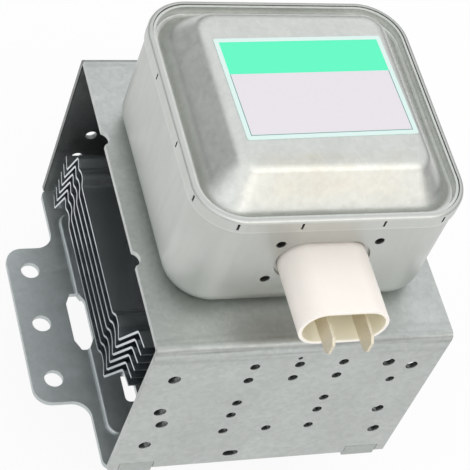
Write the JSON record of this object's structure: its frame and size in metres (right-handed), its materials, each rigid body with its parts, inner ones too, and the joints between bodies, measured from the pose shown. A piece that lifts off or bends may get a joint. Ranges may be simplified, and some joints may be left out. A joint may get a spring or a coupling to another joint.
{
  "type": "magnetron",
  "caption": "Microwave-oven magnetron: folded steel yoke with ring magnets and split cooling fins, drawn filter box with a blade connector, and an antenna under its eared mounting plate.",
  "frame": {"origin": "centre of the rectangle of four outer ear holes, on the mounting face of the plate", "axes": "+Z along the tube axis from the antenna towards the filter box, -Y towards the connector, +X along the open sides of the yoke, from ear to ear"},
  "size_m": [0.1106, 0.1092, 0.1302],
  "materials": {
    "yoke_steel": "galvanised, satin",
    "plate_steel": "galvanised, dull",
    "can_steel": "deep drawn, satin",
    "label_paper": "coated, satin",
    "housing_plastic": "moulded, satin",
    "blade_metal": "tin plated",
    "capacitor_resin": "cast, satin",
    "choke_copper": "enamelled copper wire",
    "ferrite": "sintered, dull",
    "fin_aluminium": "mill finish",
    "anode_copper": "machined copper",
    "pole_steel": "plated",
    "tungsten": "drawn wire",
    "ceramic_pink": "alumina, matt",
    "cap_steel": "drawn, satin",
    "gasket_mesh": "knitted wire mesh"
  },
  "bodies": {
    "root": {"yoke_frame": "yoke_steel", "mounting_plate": "plate_steel", "filter_can": "can_steel", "filter_lid": "can_steel", "label": "label_paper", "connector_housing": "housing_plastic", "terminal_blade_left": "blade_metal", "terminal_blade_right": "blade_metal", "capacitor_block": "capacitor_resin", "choke_coil_left": "choke_copper", "choke_coil_right": "choke_copper", "choke_core_left": "ferrite", "choke_core_right": "ferrite", "upper_magnet": "ferrite", "lower_magnet": "ferrite", "fin_1": "fin_aluminium", "fin_2": "fin_aluminium", "fin_3": "fin_aluminium", "fin_4": "fin_aluminium", "fin_5": "fin_aluminium", "fin_6": "fin_aluminium", "anode_cylinder": "anode_copper", "anode_vanes": "anode_copper", "strap_rings": "anode_copper", "antenna_lead": "anode_copper", "exhaust_tube": "anode_copper", "capacitor_earth_plate": "pole_steel", "upper_pole_piece": "pole_steel", "lower_pole_piece": "pole_steel", "cathode_sleeve": "pole_steel", "output_sleeve": "pole_steel", "cathode_terminals": "pole_steel", "filament": "tungsten", "upper_end_hat": "tungsten", "lower_end_hat": "tungsten", "centre_lead": "tungsten", "side_lead": "tungsten", "stem_ceramic": "ceramic_pink", "antenna_ceramic": "ceramic_pink", "antenna_cap": "cap_steel", "rf_gasket": "gasket_mesh"}
  },
  "joints": []
}
